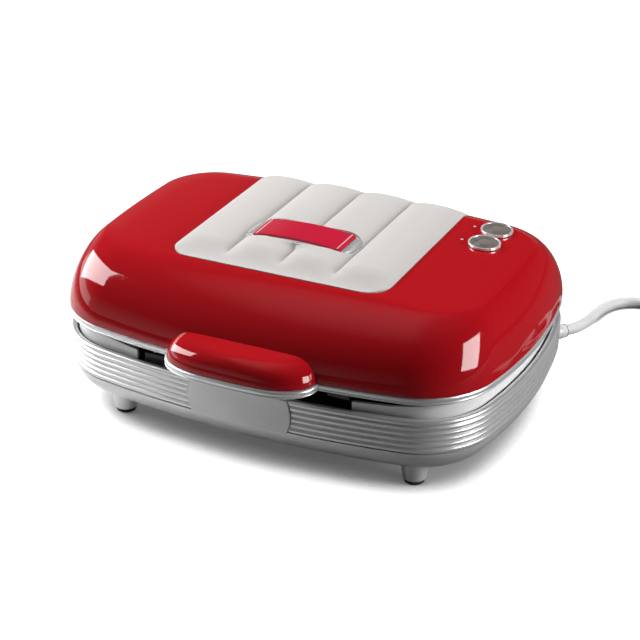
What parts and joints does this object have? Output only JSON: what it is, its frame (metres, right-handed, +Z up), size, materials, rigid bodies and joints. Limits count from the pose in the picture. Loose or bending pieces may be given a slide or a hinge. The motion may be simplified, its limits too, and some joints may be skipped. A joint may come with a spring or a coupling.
{
  "type": "sandwich maker",
  "caption": "Countertop sandwich maker: domed lid hinged on a ribbed base, ribbed top panel, front handle, pilot lights, dished plates inside and a mains cord put away in a coil.",
  "frame": {"origin": "on the table, under the middle of the machine's own box, handle and hinges included, cord left out", "axes": "+X to the right along the front, +Y to the hinges at the back, +Z up"},
  "size_m": [0.417, 0.3337, 0.1173],
  "materials": {
    "red_gloss": "high gloss, clear",
    "silver_paint": "satin silver metallic paint over moulded plastic",
    "hinge_paint": "satin silver paint",
    "pale_moulding": "satin moulded",
    "panel_moulding": "satin moulded",
    "bright_chrome": "mirror plating",
    "red_enamel": "gloss enamel",
    "smoked_lens": "smoked, fine circular ribs",
    "black_moulding": "fine moulded grain",
    "nonstick_coating": "dark non-stick coating on cast metal",
    "bright_steel": "bright rolled",
    "foot_rubber": "matt",
    "cord_sheath": "soft satin sheath",
    "white_ceramic": "unglazed",
    "plug_brass": "bright"
  },
  "bodies": {
    "base": {"base_band": "silver_paint", "base_deck": "black_moulding", "base_pan": "silver_paint", "base_rim": "pale_moulding", "cord_clamp": "black_moulding", "cord_gland": "cord_sheath", "cord_tie": "black_moulding", "foot_pad_front_left": "foot_rubber", "foot_pad_front_right": "foot_rubber", "foot_pad_rear_left": "foot_rubber", "foot_pad_rear_right": "foot_rubber", "front_plaque": "pale_moulding", "hinge_bracket_left": "hinge_paint", "hinge_bracket_right": "hinge_paint", "hinge_pin_left": "bright_steel", "hinge_pin_right": "bright_steel", "inner_lead": "cord_sheath", "lower_element": "bright_steel", "lower_plate": "nonstick_coating", "lower_reflector": "bright_steel", "lower_release_spring": "bright_steel", "lower_thermostat": "white_ceramic", "mains_cord_coil": "cord_sheath", "mains_cord_lead": "cord_sheath", "mains_cord_tail": "cord_sheath", "pan_screw_front_left": "bright_steel", "pan_screw_front_right": "bright_steel", "pan_screw_rear_left": "bright_steel", "pan_screw_rear_right": "bright_steel", "plug_body": "cord_sheath", "plug_pin_earth": "plug_brass", "plug_pin_live": "plug_brass", "plug_pin_neutral": "plug_brass", "terminal_block": "white_ceramic", "thermal_fuse": "white_ceramic"},
    "lid": {"badge_frame": "bright_chrome", "badge_plate": "red_enamel", "handle_cover": "red_gloss", "lid_hinge_arm_left": "hinge_paint", "lid_hinge_arm_right": "hinge_paint", "lid_liner": "black_moulding", "lid_screw_front_left": "bright_steel", "lid_screw_front_right": "bright_steel", "lid_screw_rear_left": "bright_steel", "lid_screw_rear_right": "bright_steel", "lid_shell": "red_gloss", "lid_trim": "silver_paint", "pilot_bezel_power": "bright_chrome", "pilot_bezel_ready": "bright_chrome", "pilot_lens_power": "smoked_lens", "pilot_lens_ready": "smoked_lens", "quilted_panel": "panel_moulding", "upper_element": "bright_steel", "upper_plate": "nonstick_coating", "upper_reflector": "bright_steel", "upper_release_spring": "bright_steel", "upper_thermostat": "white_ceramic"},
    "lower_release": {"lower_release": "pale_moulding"},
    "upper_release": {"upper_release": "black_moulding"}
  },
  "joints": [
    {"name": "lid_hinge", "type": "hinge", "parent": "base", "child": "lid", "pos_m": [0, 0.11725, 0.0615], "axis": [-1, 0, 0], "range_deg": [0, 100]},
    {"name": "lower_catch", "type": "slide", "parent": "base", "child": "lower_release", "axis": [0, -1, 0], "range_m": [0, 0.0045], "stiffness_N_per_m": 400, "springref_m": -0.002, "deforming": ["lower_release_spring"]},
    {"name": "upper_catch", "type": "slide", "parent": "lid", "child": "upper_release", "axis": [0, -1, 0], "range_m": [0, 0.0045], "stiffness_N_per_m": 400, "springref_m": -0.002, "deforming": ["upper_release_spring"]}
  ]
}
